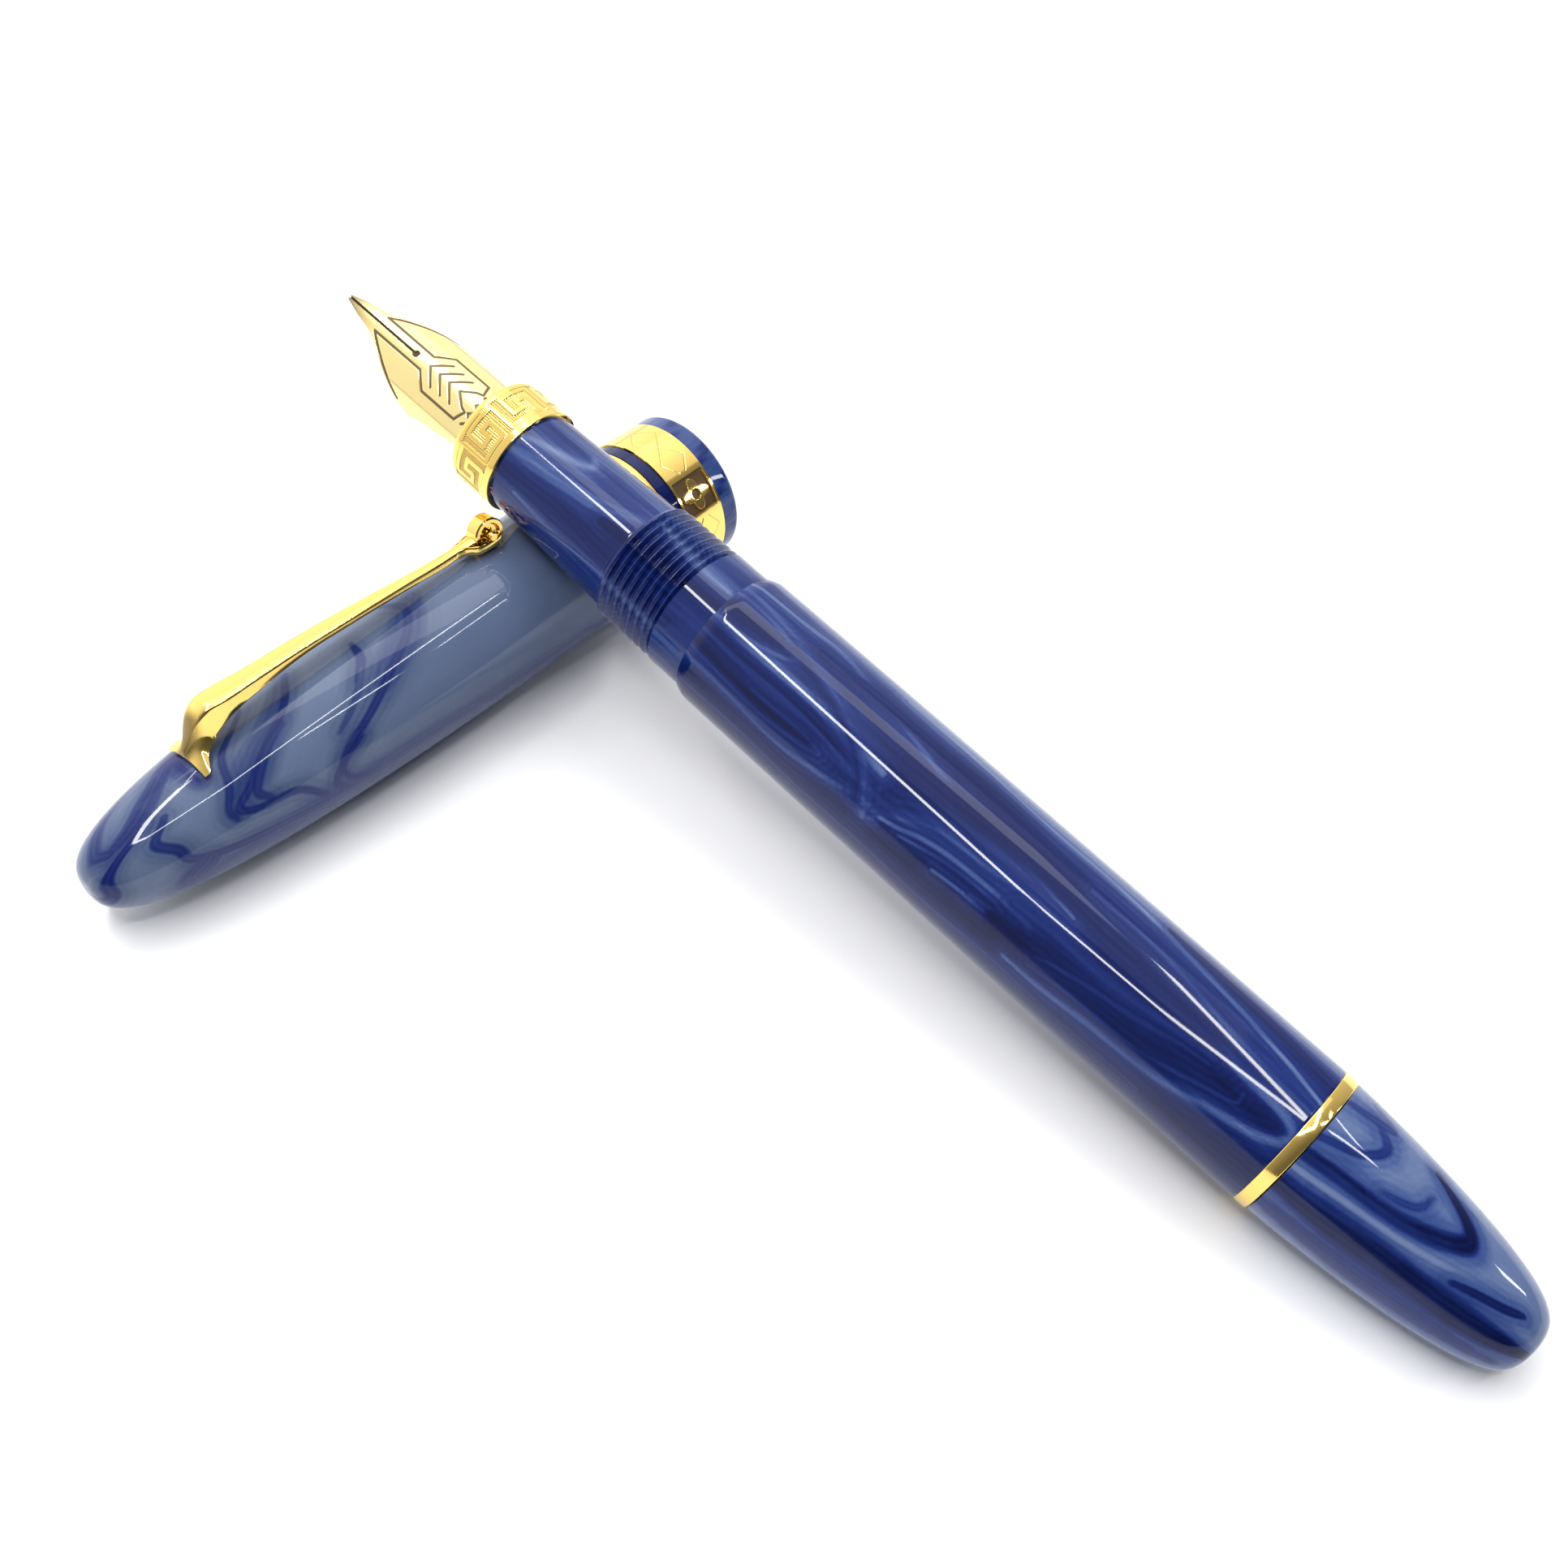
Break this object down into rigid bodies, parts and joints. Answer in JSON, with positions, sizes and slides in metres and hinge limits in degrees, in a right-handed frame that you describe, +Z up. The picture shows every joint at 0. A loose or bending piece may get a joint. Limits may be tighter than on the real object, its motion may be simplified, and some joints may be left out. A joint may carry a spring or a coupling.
{
  "type": "fountain pen",
  "caption": "Fountain pen with an engraved open nib, a ringed grip and a turning piston knob, lying across its threaded cap with a roller-tipped spring clip.",
  "frame": {"origin": "the middle of the whole object's box, on the table", "axes": "+X along the pen from its nib to its tail as seen from above, +Y out of the cap's mouth, +Z up"},
  "size_m": [0.1328, 0.0698, 0.0256],
  "materials": {
    "cap_resin": "polished marbled resin, grey-blue with dark blue ribbons",
    "dark_resin": "polished dark blue resin",
    "pen_resin": "polished marbled resin, navy with lighter streaks along the pen",
    "knob_resin": "polished marbled resin, light blue with dark ribbons",
    "plated_gold": "polished gold plate",
    "nib_gold": "engraved and polished yellow gold",
    "tipping_metal": "ground, satin",
    "ebonite": "satin black hard rubber",
    "inner_plastic": "satin moulded plastic",
    "seal_rubber": "matt rubber",
    "inner_brass": "turned",
    "spring_steel": "plain"
  },
  "bodies": {
    "cap": {"cap_shell": "cap_resin", "cap_lip_ring": "cap_resin", "cap_band_wide": "plated_gold", "cap_spacer_ring": "dark_resin", "cap_band_thin": "plated_gold", "inner_cap": "inner_plastic", "clip_anchor": "inner_brass", "clip_screw": "spring_steel"},
    "clip": {"clip": "plated_gold", "roller_pin": "plated_gold"},
    "roller": {"clip_roller": "plated_gold"},
    "pen": {"nib": "nib_gold", "nib_tipping": "tipping_metal", "feed": "ebonite", "nib_housing": "inner_plastic", "section_ring": "plated_gold", "section": "pen_resin", "section_seal": "seal_rubber", "barrel": "pen_resin", "barrel_trim_ring": "plated_gold", "guide_bush": "inner_plastic", "knob_seal": "seal_rubber", "knob_snap_ring": "spring_steel"},
    "knob": {"piston_knob": "knob_resin", "spindle": "inner_brass"},
    "piston": {"piston_rod": "inner_plastic", "piston_seal": "seal_rubber"}
  },
  "joints": [
    {"name": "pen_lift", "type": "slide", "parent": "cap", "child": "pen", "axis": [0, 0, 1], "range_m": [0, 0.06]},
    {"name": "clip_flex", "type": "hinge", "parent": "cap", "child": "clip", "pos_m": [-0.04074, -0.0226, 0.00923], "axis": [0.9781, -0.0051, 0.2079], "range_deg": [0, 1.5], "stiffness_Nm_per_rad": 0.25},
    {"name": "roller_spin", "type": "hinge", "parent": "clip", "child": "roller", "pos_m": [-0.0419, 0.01016, 0.01548], "axis": [0.9781, -0.0051, 0.2079], "continuous": true},
    {"name": "knob_turn", "type": "hinge", "parent": "pen", "child": "knob", "pos_m": [0.05236, 0.01637, 0.00602], "axis": [0.9897, 0, -0.1433], "range_deg": [0, 1800]},
    {"name": "piston_slide", "type": "slide", "parent": "pen", "child": "piston", "axis": [-0.9897, 0, 0.1433], "range_m": [0, 0.025]}
  ],
  "couplings": [
    {"joint": "knob_turn", "follows": "piston_slide", "rad_per_m": 1256.6}
  ]
}
